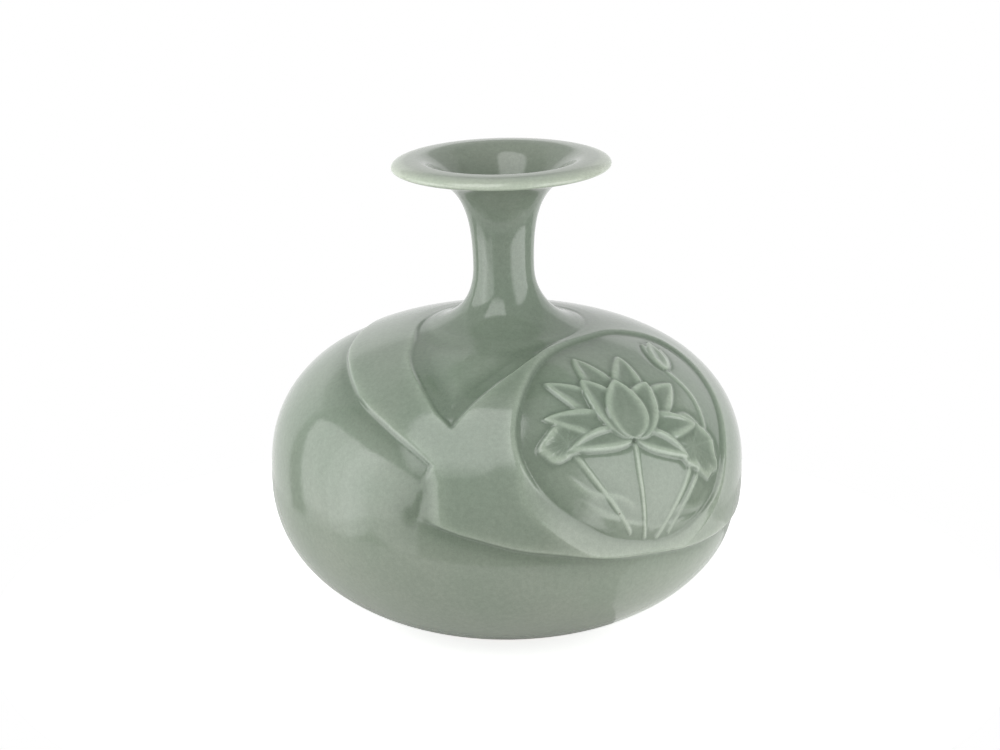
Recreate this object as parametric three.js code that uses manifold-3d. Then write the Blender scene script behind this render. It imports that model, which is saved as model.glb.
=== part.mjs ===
// Celadon bud vase: a squat round body with a cut-back collar, a wrapped mantle and a round panel in low
// relief, a narrow leaning neck and a wide flat mouth.
// Millimetres, +Z up. The origin is the centre of the foot's contact face, and the front of the vase
// faces -Y.
// The vase is thrown in sections, which are butted on flat joints and luted with slip.
import * as THREE from 'three';
import Module from 'manifold-3d';
import { mergeVertices } from 'three/addons/utils/BufferGeometryUtils.js';

const wasm = await Module();
wasm.setup();

// Driving dimensions of the body
const BELLY_RADIUS = 65.5;      // widest radius
const BELLY_HEIGHT = 41.4;      // height of the widest level, where the two halves are joined
const SHOULDER_RISE = 42.3;     // from the widest level to the top of the shoulder's curve
const SHOULDER_FULLNESS = 2.45; // exponent of the upper curve: 2 is an ellipse, more is squarer
const BASE_SINK = 1.4;          // the lower curve would bottom out this far below the ground
const BASE_FULLNESS = 2.3;      // exponent of the lower curve
const WALL = 3.6;               // wall at the widest level
const SHOULDER_WALL = 4.0;      // wall at the top of the shoulder
const FLOOR = 4.3;              // thickness of the floor

// Driving dimensions of the foot
const FOOT_HEIGHT = 1.6;        // height of the joint between the foot ring and the body
const FOOT_CONTACT_RADIUS = 27; // outside of the contact face
const FOOT_CONTACT_WIDTH = 3.8;
const FOOT_EDGE = 0.5;          // softened edges of the contact face
const BASE_RECESS = 3.2;        // height of the recessed base inside the ring
const BASE_RECESS_SLOPE = 2;    // the recess's wall slopes in by this much

// Driving dimensions of the neck
const SEAT_RADIUS = 20;         // radius of the joint between the neck and the shoulder
const SEAT_SWELL = 6;           // the shoulder swells up to that joint over this distance
const SEAT_LIFT = 0.5;          // and by this much
const NECK_RADIUS = 8.35;       // outside, at the waist
const NECK_WALL = 3.05;
const HOLE_CLEARANCE = 0.3;     // the hole in the shoulder is this much wider than the bore
const HOLE_ROUNDING = 0.8;      // softened inner edge of that hole
const COVE_LENGTH = 15.75;      // height of the cove at the neck's root
const COVE_REACH = 6.2;         // how far the cove leaves the seat along the shoulder's slope
const COVE_UPRIGHT = 9;         // the cove turns upright this far below its end
const WAIST_LENGTH = 2;
const LEAN = THREE.MathUtils.degToRad(1.4); // towards -X
const LEAN_RISE = 4.75;         // the leaning axis is centred this far above the seat
const LEAN_OFFSET = -0.45;      // place of the leaning axis at that height
const LEAN_GROWTH = 11.75;      // the lean grows to its full angle over this height

// Driving dimensions of the mouth
const FLARE_LENGTH = 24.6;      // from the waist to the underside of the lip
const FLARE_STRAIGHT = 14;      // the flare hardly widens over this stretch
const FLARE_TAPER = 0.25;       // and only by this much
const FLARE_BEND = 2.85;        // the flare bends outwards this far outside the waist
const FLARE_DIP = 1.6;          // and this far below the lip
const FLARE_SPLIT = 0.46;       // share of the flare that belongs to the neck
const MOUTH_RADIUS = 29.85;
const LIP_WIDTH = 4.85;         // breadth of the lip's underside
const LIP_UNDER = 1.55;         // from the underside up to the outermost point
const LIP_OVER = 2.1;           // from there up to the crest
const LIP_CURL = 0.3;           // the underside rises by this much where it starts to turn up
const LIP_CURL_INSET = 1.85;    // this far inside the outermost point
const LIP_UPRIGHT_BELOW = 0.85; // the lip stands upright over this height below the outermost point
const LIP_UPRIGHT_ABOVE = 1.4;  // and over this height above it
const CREST_INSET = 6.65;       // the crest lies this far inside the outermost point
const CREST_BREADTH = 3.8;      // level run outside the crest
const FUNNEL_BREADTH = 5.7;     // level run inside the crest
const FUNNEL_RUN = 3.5;         // straight run above the throat
const THROAT_WALL = 2.45;       // wall at the joint between neck and mouth
const THROAT_RUN = 2;           // straight run below that joint
const THROAT_LENGTH = 13;       // the throat narrows to the bore over this height
const THROAT_UPRIGHT = 6.5;     // and is upright over the last of it

// Driving dimensions of the relief, measured square to the surface
const MANTLE_RISE = 0.4;        // the wrapped mantle stands this proud of the body
const SWEEP_CUT = 0.75;         // depth of the cut below the mantle's low edge
const SWEEP_FADE = 15;          // and the distance over which it runs out
const SWEEP_SHARE = 0.62;       // share of the mantle's outer edge where the low sweep passes into the lapel
const SWEEP_ENDING = 0.7;       // share of the sweep from which its cut dies out
const LAPEL_CUT = 1;
const LAPEL_FADE = 19;
const LAPEL_START = 0.3;        // share of that depth where the lapel starts
const LAPEL_FULL = 0.6;         // share of the lapel where it is full
const COLLAR_CUT = 0.8;
const COLLAR_FADE = 22;
const PANEL_CUT = 0.7;          // depth of the round panel at its edge
const PANEL_FADE = 24;          // the panel's floor rises again over this distance
const RIM_RISE = 0.3;           // the mantle swells towards the panel by this much
const RIM_BREADTH = 5.5;        // over this distance
const BEVEL_LEAST = 0.7;        // breadth of the slope from there into the panel, at the top
const BEVEL_MOST = 5.5;         // and low on the left
const BEVEL_TURN = THREE.MathUtils.degToRad(8); // azimuth of its broadest place
const BEVEL_HALF_WAY = 0.5;     // cosine of the turn at which it starts to broaden
const BEVEL_HIGH = 0.55;        // shares of the way to the widest level between which it broadens
const BEVEL_LOW = 0.95;
const BEVEL_SLOPE = 0.16;
const NOTCH_BEVEL = 7;          // the chamfer along the notch widens to this breadth
const NOTCH_TIP = 0.1;          // from this share of it
const NOTCH_DROP = 0.75;        // and drops by this much
const NOTCH_FULL = 0.25;        // from this share of the notch on
const NECK_CLEAR = 7;           // the relief dies out over this distance from the neck's joint

// Edges of the relief on the body, each a smooth curve through its points. A point is an azimuth in degrees
// (0 is the front, positive to +X) and a share of the way over the surface from the axis on top (0) to the
// widest level (1), and each edge runs anticlockwise, seen from the top. The collar's edge ends where it
// starts, in the corner of its V. The panel's edge closes without a corner.
const COLLAR_EDGE = [[-15, 0.655], [-1, 0.45], [12, 0.35], [28, 0.28], [60, 0.25], [91, 0.255], [130, 0.26],
  [180, 0.26], [-140, 0.255], [-95, 0.265], [-62, 0.325], [-43, 0.43], [-24, 0.575], [-15, 0.655]];
const WRAP_EDGE = [[-21, 0.925], [-8, 0.967], [7, 1.011], [27, 1.056], [50, 1.086], [72, 1.091], [95, 1.065],
  [120, 0.98], [145, 0.855], [170, 0.72], [-165, 0.61], [-138, 0.52], [-111, 0.47], [-80, 0.5], [-51, 0.59],
  [-34, 0.665], [-18, 0.767]];
const NOTCH_EDGE = [[-18, 0.767], [-19.5, 0.846], [-21, 0.925]];
const PANEL_EDGE = [[2, 0.68], [9, 0.857], [24, 0.998], [41, 1.043], [57, 0.97], [68, 0.812], [80, 0.654],
  [91, 0.496], [84, 0.35], [58, 0.28], [27, 0.305], [9, 0.43]];

// Fineness of the facets
const BODY_COLUMNS = 70;
const CROWDING = 0.45;          // columns crowd towards the carved side by this much
const CROWD_CENTRE = THREE.MathUtils.degToRad(20);
const UPPER_ROWS = 22;
const LOWER_ROWS = 12;
const LINING_COLUMNS = 42;
const LINING_ROWS = 7;
const NECK_COLUMNS = 36;
const NECK_ROWS = 7;
const BORE_ROWS = 2;
const MOUTH_COLUMNS = 48;
const MOUTH_ROWS = 6;
const LIP_ROWS = 3;
const FOOT_COLUMNS = 48;
const EDGE_CHORD = 2.5;         // longest chord along an edge of the relief
const MANTLE_APEX = 29;         // heights on the axis from which the cutters spread
const COLLAR_APEX = 41;
const PANEL_APEX = 35;
const CUTTER_REACH = 1.5;       // a cutter reaches this many times as far out as the edge that it follows
const CUTTER_TOP = 1200;        // and ends in a point at this height
const CLEAR_OF_VASE = 200;      // half-size of the blocks that part the halves
const OUTLINE_DIVISIONS = 1600; // steps in which the length of an outline is measured
const OUTLINE_STEP = 0.2;       // slopes are taken over this length to either side
const HALVINGS = 50;            // steps of a search along an outline

const TURN = 2 * Math.PI;
const smooth = (value, from, to) => THREE.MathUtils.smoothstep(value, from, to);
function spread(from, to, count) {
  return Array.from({ length: count + 1 }, (_, i) => from + ((to - from) * i) / count);
}

// A half outline of the body: a superellipse from the top (0) over the widest level to the bottom (1)
class BodyOutline extends THREE.Curve {
  constructor(radius, rise, drop) {
    super();
    this.radius = radius;
    this.rise = rise;
    this.drop = drop;
    this.arcLengthDivisions = OUTLINE_DIVISIONS;
  }

  getPoint(t) {
    const angle = (0.5 - t) * Math.PI;
    const up = angle >= 0;
    const fullness = up ? SHOULDER_FULLNESS : BASE_FULLNESS;
    const across = 1 - Math.abs(Math.sin(angle)) ** fullness;
    const height = (up ? this.rise : this.drop) * Math.sin(angle);
    return new THREE.Vector2(this.radius * Math.max(0, across) ** (1 / fullness), BELLY_HEIGHT + height);
  }

  // Reach is the length along the outline from the top
  atReach(reach) {
    return this.getPointAt(THREE.MathUtils.clamp(reach / this.getLength(), 0, 1));
  }

  // The reach up to which a test of the outline's points holds
  reachWhile(test) {
    let low = 0;
    let high = this.getLength();
    for (let step = 0; step < HALVINGS; step += 1) {
      const middle = (low + high) / 2;
      if (test(this.atReach(middle))) low = middle;
      else high = middle;
    }
    return (low + high) / 2;
  }

  reachOfHeight(height) {
    return this.reachWhile((point) => point.y > height);
  }

  reachOfRadius(radius) {
    return this.reachWhile((point) => point.x < radius);
  }
}

const outside = new BodyOutline(BELLY_RADIUS, SHOULDER_RISE, BELLY_HEIGHT + BASE_SINK);
const inside = new BodyOutline(
  BELLY_RADIUS - WALL,
  SHOULDER_RISE - SHOULDER_WALL,
  BELLY_HEIGHT - BASE_RECESS - FLOOR,
);
const BELLY_REACH = outside.reachOfHeight(BELLY_HEIGHT);
const SEAT_REACH = outside.reachOfRadius(SEAT_RADIUS);
const SEAT_HEIGHT = outside.atReach(SEAT_REACH).y + SEAT_LIFT;

function aroundAxis(radius, azimuth, height) {
  return new THREE.Vector3(radius * Math.sin(azimuth), -radius * Math.cos(azimuth), height);
}

function onBody(azimuth, reach) {
  const point = outside.atReach(reach);
  return aroundAxis(point.x, azimuth, point.y);
}

// The way down the outline
function bodySlope(reach) {
  return outside.atReach(reach + OUTLINE_STEP).sub(outside.atReach(reach - OUTLINE_STEP)).normalize();
}

function bodyNormal(azimuth, reach) {
  const slope = bodySlope(reach);
  return aroundAxis(-slope.y, azimuth, slope.x);
}

// One stroke of a carved edge, as chords in the flat map of the body seen from the top, in millimetres over
// the surface
function stroke(points, isRound = false) {
  const knots = points.map(([degrees, share]) => {
    return aroundAxis(share * BELLY_REACH, THREE.MathUtils.degToRad(degrees), 0);
  });
  const curve = new THREE.CatmullRomCurve3(knots, isRound, 'catmullrom');
  return curve.getSpacedPoints(Math.ceil(curve.getLength() / EDGE_CHORD));
}

const ontoBody = (flat) => flat.map((point) => onBody(Math.atan2(point.x, -point.y), point.length()));

// Distance of a place from a chain of chords, and the share of the chain where it is nearest
function nearest(chain, place) {
  const best = { distance: Infinity, share: 0 };
  const chord = new THREE.Line3();
  const foot = new THREE.Vector3();
  for (let i = 0; i + 1 < chain.length; i += 1) {
    chord.set(chain[i], chain[i + 1]);
    const share = chord.closestPointToPointParameter(place, true);
    const distance = chord.at(share, foot).distanceTo(place);
    if (distance < best.distance) {
      best.distance = distance;
      best.share = (i + share) / (chain.length - 1);
    }
  }
  return best;
}

const wrapStroke = ontoBody(stroke(WRAP_EDGE));
const notchStroke = ontoBody(stroke(NOTCH_EDGE));
const collarStroke = ontoBody(stroke(COLLAR_EDGE));
const panelStroke = ontoBody(stroke(PANEL_EDGE, true));
const sweepEnd = Math.round(SWEEP_SHARE * wrapStroke.length);
const sweepStroke = wrapStroke.slice(0, sweepEnd);
const lapelStroke = wrapStroke.slice(sweepEnd - 1);

const runOut = (distance, breadth) => Math.max(0, 1 - Math.max(0, distance) / breadth) ** 2;

// The ground that the mantle lies on is cut away beside each edge, deepest at the edge
function groundHeight(place) {
  const sweep = nearest(sweepStroke, place);
  const lapel = nearest(lapelStroke, place);
  return -Math.hypot(
    SWEEP_CUT * runOut(sweep.distance, SWEEP_FADE) * (1 - smooth(sweep.share, SWEEP_ENDING, 1)),
    LAPEL_CUT * runOut(lapel.distance, LAPEL_FADE)
      * THREE.MathUtils.lerp(LAPEL_START, 1, smooth(lapel.share, 0, LAPEL_FULL)),
    COLLAR_CUT * runOut(nearest(collarStroke, place).distance, COLLAR_FADE),
    PANEL_CUT * runOut(nearest(panelStroke, place).distance, PANEL_FADE),
  );
}

// The mantle, with its rim and slope round the panel and the chamfer that widens along the notch
function mantleHeight(place, azimuth, reach) {
  const lowness = smooth(reach / BELLY_REACH, BEVEL_HIGH, BEVEL_LOW);
  const broadness = smooth(Math.cos(azimuth - BEVEL_TURN) * lowness, BEVEL_HALF_WAY, 1);
  const breadth = THREE.MathUtils.lerp(BEVEL_LEAST, BEVEL_MOST, broadness);
  const beyond = nearest(panelStroke, place).distance - breadth;
  const notch = nearest(notchStroke, place);
  const chamfer = Math.max(0, 1 - notch.distance / (NOTCH_BEVEL * Math.max(notch.share, NOTCH_TIP)));
  return MANTLE_RISE + RIM_RISE * runOut(beyond, RIM_BREADTH) + BEVEL_SLOPE * Math.min(beyond, 0)
    - NOTCH_DROP * chamfer * smooth(notch.share, 0, NOTCH_FULL);
}

// Rings of vertices round the axis
function evenAzimuths(count) {
  return spread(0, TURN, count).slice(0, -1);
}

function crowdedAzimuths(count) {
  return evenAzimuths(count).map((turn) => turn - CROWDING * Math.sin(turn - CROWD_CENTRE));
}

function plainRing(radius, height, azimuths) {
  return azimuths.map((azimuth) => aroundAxis(radius, azimuth, height));
}

// A ring of the body's outside, which stands off by a height function and swells up to the neck's joint
function reliefRing(reach, azimuths, heightAt) {
  const swell = SEAT_LIFT * Math.max(0, 1 - (reach - SEAT_REACH) / SEAT_SWELL) ** 2;
  const share = smooth(reach, SEAT_REACH, SEAT_REACH + NECK_CLEAR);
  return azimuths.map((azimuth) => {
    const place = onBody(azimuth, reach);
    return place.addScaledVector(bodyNormal(azimuth, reach), swell + share * heightAt(place, azimuth, reach));
  });
}

// Joins two rings of any number of points, walking both by turn
function stitch(triangles, low, high) {
  let i = 0;
  let j = 0;
  while (i < low.length || j < high.length) {
    const a = low[i % low.length];
    const b = high[j % high.length];
    const lowNext = i < low.length && (i + 1) * high.length <= (j + 1) * low.length;
    if (lowNext || j >= high.length) {
      if (low.length > 1) triangles.push(a, low[(i + 1) % low.length], b);
      i += 1;
    } else {
      if (high.length > 1) triangles.push(a, high[(j + 1) % high.length], b);
      j += 1;
    }
  }
}

// A closed surface from rings in order: closed on itself, or from pole to pole where the first and last are
// single points
function solidOfRings(rings, closesOnItself) {
  const triangles = [];
  const numbered = [];
  let count = 0;
  rings.forEach((ring) => {
    numbered.push(ring.map((_, i) => count + i));
    count += ring.length;
  });
  for (let k = 0; k + 1 < numbered.length; k += 1) stitch(triangles, numbered[k], numbered[k + 1]);
  if (closesOnItself) stitch(triangles, numbered[numbered.length - 1], numbered[0]);
  const geometry = new THREE.BufferGeometry().setFromPoints(rings.flat());
  geometry.setIndex(triangles);
  geometry.computeVertexNormals();
  return geometry;
}

// Cutting and joining of closed surfaces
function toManifold(geometry) {
  const vertProperties = Float32Array.from(geometry.getAttribute('position').array);
  const triVerts = Uint32Array.from(geometry.getIndex().array);
  return new wasm.Manifold(new wasm.Mesh({ numProp: 3, vertProperties, triVerts }));
}

function toGeometry(manifold) {
  const { numProp, vertProperties, triVerts } = manifold.getMesh();
  const geometry = new THREE.BufferGeometry();
  geometry.setAttribute('position', new THREE.BufferAttribute(vertProperties, numProp));
  geometry.setIndex(new THREE.BufferAttribute(triVerts, 1));
  geometry.computeVertexNormals();
  return geometry;
}

// A cone from a point on the axis out through a closed chain of points, and back to a point high above
function cutter(apexHeight, chain) {
  const apex = new THREE.Vector3(0, 0, apexHeight);
  const ring = chain.slice(0, -1).map((point) => apex.clone().lerp(point, CUTTER_REACH));
  return toManifold(solidOfRings([[apex], ring, [new THREE.Vector3(0, 0, CUTTER_TOP)]], false));
}

// The foot ring and the body meet in a flat face between these radii
const footReach = outside.reachOfHeight(FOOT_HEIGHT);
const footJointRadius = outside.atReach(footReach).x;
const footInnerRadius = FOOT_CONTACT_RADIUS - FOOT_CONTACT_WIDTH - FOOT_EDGE;

// The bore of the neck, and the hole in the shoulder that it opens into
const boreRadius = NECK_RADIUS - NECK_WALL;
const holeRadius = boreRadius + HOLE_CLEARANCE;

// The whole body without its cavity, from the recessed base up to the neck's joint
function bodyShape(heightAt) {
  const columns = crowdedAzimuths(BODY_COLUMNS);
  const lower = spread(footReach, BELLY_REACH, LOWER_ROWS).slice(1, -1);
  const upper = spread(BELLY_REACH, SEAT_REACH, UPPER_ROWS).slice(0, -1);
  return toManifold(solidOfRings([
    [new THREE.Vector3(0, 0, BASE_RECESS)],
    plainRing(footInnerRadius - BASE_RECESS_SLOPE, BASE_RECESS, columns),
    plainRing(footInnerRadius, FOOT_HEIGHT, columns),
    plainRing(footJointRadius, FOOT_HEIGHT, columns),
    ...[...lower, ...upper].map((reach) => reliefRing(reach, columns, heightAt)),
    plainRing(SEAT_RADIUS, SEAT_HEIGHT, columns),
    [new THREE.Vector3(0, 0, SEAT_HEIGHT)],
  ], false));
}

// The cavity, with the hole up through the shoulder
function cavityShape() {
  const columns = evenAzimuths(LINING_COLUMNS);
  const holeReach = inside.reachOfRadius(holeRadius + HOLE_ROUNDING);
  const holeFoot = inside.atReach(holeReach).y + HOLE_ROUNDING;
  const reaches = spread(inside.getLength(), holeReach, 2 * LINING_ROWS).slice(1);
  return toManifold(solidOfRings([
    [new THREE.Vector3(0, 0, BASE_RECESS + FLOOR)],
    ...reaches.map((reach) => inside.atReach(reach)).map((point) => plainRing(point.x, point.y, columns)),
    plainRing(holeRadius, holeFoot, columns),
    plainRing(holeRadius, CLEAR_OF_VASE, columns),
    [new THREE.Vector3(0, 0, CLEAR_OF_VASE)],
  ], false));
}

// The mantle is a plate on the ground, with the collar and the panel cut out of it
function carvedBody() {
  const mantle = bodyShape(mantleHeight)
    .intersect(cutter(MANTLE_APEX, [...wrapStroke.slice(0, -1), ...notchStroke]))
    .subtract(cutter(COLLAR_APEX, collarStroke))
    .subtract(cutter(PANEL_APEX, panelStroke));
  return bodyShape(groundHeight).add(mantle).subtract(cavityShape());
}

const body = carvedBody();

// A block that fills everything below or above the widest level
function halfSpace(side) {
  const block = new THREE.BoxGeometry(2 * CLEAR_OF_VASE, 2 * CLEAR_OF_VASE, 2 * CLEAR_OF_VASE);
  block.translate(0, 0, BELLY_HEIGHT + side * CLEAR_OF_VASE);
  block.deleteAttribute('normal');
  block.deleteAttribute('uv');
  return toManifold(mergeVertices(block));
}

// Lower half: a bowl with a recessed base, which stands on the foot ring
const lowerBody = () => toGeometry(body.intersect(halfSpace(-1)));

// Upper half: the shoulder with the hole under the neck
const upperBody = () => toGeometry(body.intersect(halfSpace(1)));

// The ring that was turned on the underside, with a wiped contact face
function footRing() {
  const azimuths = evenAzimuths(FOOT_COLUMNS);
  return solidOfRings([
    plainRing(FOOT_CONTACT_RADIUS, 0, azimuths),
    plainRing(FOOT_CONTACT_RADIUS + FOOT_EDGE, FOOT_EDGE, azimuths),
    plainRing(footJointRadius, FOOT_HEIGHT, azimuths),
    plainRing(footInnerRadius, FOOT_HEIGHT, azimuths),
    plainRing(footInnerRadius, FOOT_EDGE, azimuths),
    plainRing(FOOT_CONTACT_RADIUS - FOOT_CONTACT_WIDTH, 0, azimuths),
  ], true);
}

// Heights of the neck and mouth, each stacked on the one below
const waistLow = SEAT_HEIGHT + COVE_LENGTH;
const waistHigh = waistLow + WAIST_LENGTH;
const lipUnderHeight = waistHigh + FLARE_LENGTH;
const lipEdgeHeight = lipUnderHeight + LIP_UNDER;
const crestHeight = lipEdgeHeight + LIP_OVER;
const lipUnderRadius = MOUTH_RADIUS - LIP_WIDTH;
const crestRadius = MOUTH_RADIUS - CREST_INSET;

// Outlines of the neck and mouth, as radius and height
const at = (radius, height) => new THREE.Vector2(radius, height);
const bezier = (...points) => new THREE.CubicBezierCurve(...points);

// The cove leaves the seat along the slope of the shoulder, and the swell makes that slope steeper
const seatSlope = bodySlope(SEAT_REACH);
const swellSlope = (2 * SEAT_LIFT) / SEAT_SWELL;
const coveRise = COVE_REACH * (-seatSlope.y / seatSlope.x + swellSlope);
const cove = bezier(
  at(SEAT_RADIUS, SEAT_HEIGHT),
  at(SEAT_RADIUS - COVE_REACH, SEAT_HEIGHT + coveRise),
  at(NECK_RADIUS, waistLow - COVE_UPRIGHT),
  at(NECK_RADIUS, waistLow),
);
const flare = bezier(
  at(NECK_RADIUS, waistHigh),
  at(NECK_RADIUS + FLARE_TAPER, waistHigh + FLARE_STRAIGHT),
  at(NECK_RADIUS + FLARE_BEND, lipUnderHeight - FLARE_DIP),
  at(lipUnderRadius, lipUnderHeight),
);
const underLip = bezier(
  at(lipUnderRadius, lipUnderHeight),
  at(MOUTH_RADIUS - LIP_CURL_INSET, lipUnderHeight + LIP_CURL),
  at(MOUTH_RADIUS, lipEdgeHeight - LIP_UPRIGHT_BELOW),
  at(MOUTH_RADIUS, lipEdgeHeight),
);
const overLip = bezier(
  at(MOUTH_RADIUS, lipEdgeHeight),
  at(MOUTH_RADIUS, lipEdgeHeight + LIP_UPRIGHT_ABOVE),
  at(crestRadius + CREST_BREADTH, crestHeight),
  at(crestRadius, crestHeight),
);
const joint = flare.getPoint(FLARE_SPLIT);
const throatRadius = joint.x - THROAT_WALL;
const funnel = bezier(
  at(crestRadius, crestHeight),
  at(crestRadius - FUNNEL_BREADTH, crestHeight),
  at(throatRadius + FUNNEL_RUN, joint.y + FUNNEL_RUN),
  at(throatRadius, joint.y),
);
const throat = bezier(
  at(throatRadius, joint.y),
  at(throatRadius - THROAT_RUN, joint.y - THROAT_RUN),
  at(boreRadius, joint.y - THROAT_LENGTH + THROAT_UPRIGHT),
  at(boreRadius, joint.y - THROAT_LENGTH),
);

// Points of a curve between two shares of it
const along = (curve, from, to, rows) => spread(from, to, rows).map((share) => curve.getPoint(share));

// The lean grows from nothing at the shoulder to its full angle above the cove
function leaned(point) {
  const share = smooth(point.z, SEAT_HEIGHT, SEAT_HEIGHT + LEAN_GROWTH);
  const centre = SEAT_HEIGHT + LEAN_RISE;
  const turned = point.clone();
  turned.z -= centre;
  turned.applyAxisAngle(new THREE.Vector3(0, 1, 0), -LEAN);
  turned.x += LEAN_OFFSET;
  turned.z += centre;
  return point.clone().lerp(turned, share);
}

// A leaning tube from a closed outline
function leaningSolid(outline, columnCount) {
  const azimuths = evenAzimuths(columnCount);
  return solidOfRings(outline.map((point) => plainRing(point.x, point.y, azimuths).map(leaned)), true);
}

function neck() {
  return leaningSolid([
    ...along(cove, 0, 1, NECK_ROWS),
    ...along(flare, 0, FLARE_SPLIT, NECK_ROWS),
    ...along(throat, 0, 1, NECK_ROWS),
    ...spread(SEAT_HEIGHT + LEAN_GROWTH, SEAT_HEIGHT, BORE_ROWS).map((height) => at(boreRadius, height)),
  ], NECK_COLUMNS);
}

function mouth() {
  return leaningSolid([
    ...along(flare, FLARE_SPLIT, 1, MOUTH_ROWS).slice(0, -1),
    ...along(underLip, 0, 1, LIP_ROWS).slice(0, -1),
    ...along(overLip, 0, 1, MOUTH_ROWS).slice(0, -1),
    ...along(funnel, 0, 1, MOUTH_ROWS),
  ], MOUTH_COLUMNS);
}

// The finish: a glossy grey-green glaze, and bare stoneware where the foot was wiped
const glaze = () => new THREE.MeshStandardMaterial({ color: 0x8f9c8c, roughness: 0.16, metalness: 0 });
const bareClay = () => new THREE.MeshStandardMaterial({ color: 0xb9a58f, roughness: 0.8, metalness: 0 });

function piece(name, geometry, material) {
  const mesh = new THREE.Mesh(geometry, material);
  mesh.name = name;
  return mesh;
}

const vase = new THREE.Group();
vase.add(piece('foot_ring', footRing(), bareClay()));
vase.add(piece('lower_body', lowerBody(), glaze()));
vase.add(piece('upper_body', upperBody(), glaze()));
vase.add(piece('neck', neck(), glaze()));
vase.add(piece('mouth', mouth(), glaze()));

export default vase;
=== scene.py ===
# Looks of the bud vase: fine carved relief, celadon glaze, and a photographer's tent of white light.
import math

import bpy
import numpy as np
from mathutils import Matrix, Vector


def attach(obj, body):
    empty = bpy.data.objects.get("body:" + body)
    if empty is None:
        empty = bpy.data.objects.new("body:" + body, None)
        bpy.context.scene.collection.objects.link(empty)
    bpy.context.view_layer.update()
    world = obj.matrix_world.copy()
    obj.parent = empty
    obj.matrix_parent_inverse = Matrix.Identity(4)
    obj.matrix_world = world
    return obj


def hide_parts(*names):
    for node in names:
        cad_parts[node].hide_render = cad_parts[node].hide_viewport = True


MM = 0.001
TURN = 2 * math.pi

# Sizes of the vase in millimetres, as in the construction
BELLY_RADIUS, BELLY_HEIGHT = 65.5, 41.4
SHOULDER_RISE, SHOULDER_FULLNESS = 42.3, 2.45
BASE_SINK, BASE_FULLNESS = 1.4, 2.3
WALL, SHOULDER_WALL, FLOOR = 3.6, 4.0, 4.3
FOOT_HEIGHT, FOOT_CONTACT_RADIUS, FOOT_CONTACT_WIDTH, FOOT_EDGE = 1.6, 27.0, 3.8, 0.5
BASE_RECESS, BASE_RECESS_SLOPE = 3.2, 2.0
SEAT_RADIUS, SEAT_SWELL, SEAT_LIFT = 20.0, 6.0, 0.5
NECK_RADIUS, NECK_WALL, HOLE_CLEARANCE, HOLE_ROUNDING = 8.35, 3.05, 0.3, 0.8
COVE_LENGTH, COVE_REACH, COVE_UPRIGHT, WAIST_LENGTH = 15.75, 6.2, 9.0, 2.0
LEAN, LEAN_RISE, LEAN_OFFSET, LEAN_GROWTH = math.radians(1.4), 4.75, -0.45, 11.75
FLARE_LENGTH, FLARE_STRAIGHT, FLARE_TAPER, FLARE_BEND, FLARE_DIP, FLARE_SPLIT = 24.6, 14.0, 0.25, 2.85, 1.6, 0.46
MOUTH_RADIUS, LIP_WIDTH, LIP_UNDER, LIP_OVER = 29.85, 4.85, 1.55, 2.1
LIP_CURL, LIP_CURL_INSET, LIP_UPRIGHT_BELOW, LIP_UPRIGHT_ABOVE = 0.3, 1.85, 0.85, 1.4
CREST_INSET, CREST_BREADTH, FUNNEL_BREADTH, FUNNEL_RUN = 6.65, 3.8, 5.7, 3.5
THROAT_WALL, THROAT_RUN, THROAT_LENGTH, THROAT_UPRIGHT = 2.45, 2.0, 13.0, 6.5

# Relief, square to the surface
MANTLE_RISE = 0.4
SWEEP_CUT, SWEEP_FADE = 0.75, 15.0
SWEEP_EXTRA, SWEEP_EXTRA_RUN = 0.15, 0.12   # it starts this share deeper, for this share of its run
SWEEP_ENDING = 0.7                          # from this share of its run on it dies out
LAPEL_CUT, LAPEL_FADE = 0.7, 19.0
LAPEL_START, LAPEL_FULL = 0.3, 0.6          # share of its depth at the start, and share of its run up to full depth
COLLAR_CUT, COLLAR_FADE = 0.85, 24.0
COLLAR_EDGE_CUT, COLLAR_SCOOP = 0.4, 4.5    # the collar is this deep at its edge, and deepest this far inside
PANEL_CUT, PANEL_FADE = 0.7, 24.0
PANEL_SOFT = 0.45                           # share of the panel's depth that is left on the far side
PANEL_SOFT_FROM, PANEL_SOFT_TO = 0.80, 0.98
NECK_CLEAR = 7.0                            # the relief starts over this length outside the neck's root
RIM_RISE, RIM_BREADTH = 0.3, 5.5            # the mantle swells towards the panel
BEVEL_LEAST, BEVEL_MOST = 0.7, 5.5          # breadth of the slope into the panel, above and low on the left
BEVEL_TURN, BEVEL_SLOPE = math.radians(8), 0.23
BEVEL_HALF_WAY, BEVEL_HIGH, BEVEL_LOW = 0.5, 0.55, 0.95
NOTCH_BEVEL, NOTCH_LEAST, NOTCH_DROP, NOTCH_OPENING = 7.0, 0.6, 1.55, 0.8
STEP_WIDTH, STEP_START, PANEL_STEP_START = 1.3, 0.2, 0.1    # breadth of a step, and how far outside it starts
WAVE_HEIGHT, WAVE_COUNT = 0.03, 9       # slow unevenness of the thrown wall
WAVE_SHORTEST, WAVE_LONGEST = 14.0, 40.0
EDGE_SPACING = 1.2      # between the points along a carved edge

# Glaze thickness, with painted light and shade laid in: above 0 the glaze is thinner and paler and carries a
# painted highlight, below 0 it pools and is deeper and carries painted shade
# The spreads are counts of rows and columns over which the relief is averaged
EDGE_THIN_AND_LIGHT, EDGE_SPREAD = 0.4, 4
MOTIF_THIN_AND_LIGHT, MOTIF_SPREAD = 1.1, 6
STEP_POOL_AND_SHADE, STEP_SPREAD = 0.5, 13
# Painted highlight along the slope into the panel
BEVEL_HIGHLIGHT = 0.03
# Painted shade round the neck's root, along with glaze that pools there
NECK_POOL_AND_SHADE, NECK_POOL_AND_SHADE_REACH = 0.10, 12.0
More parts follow.
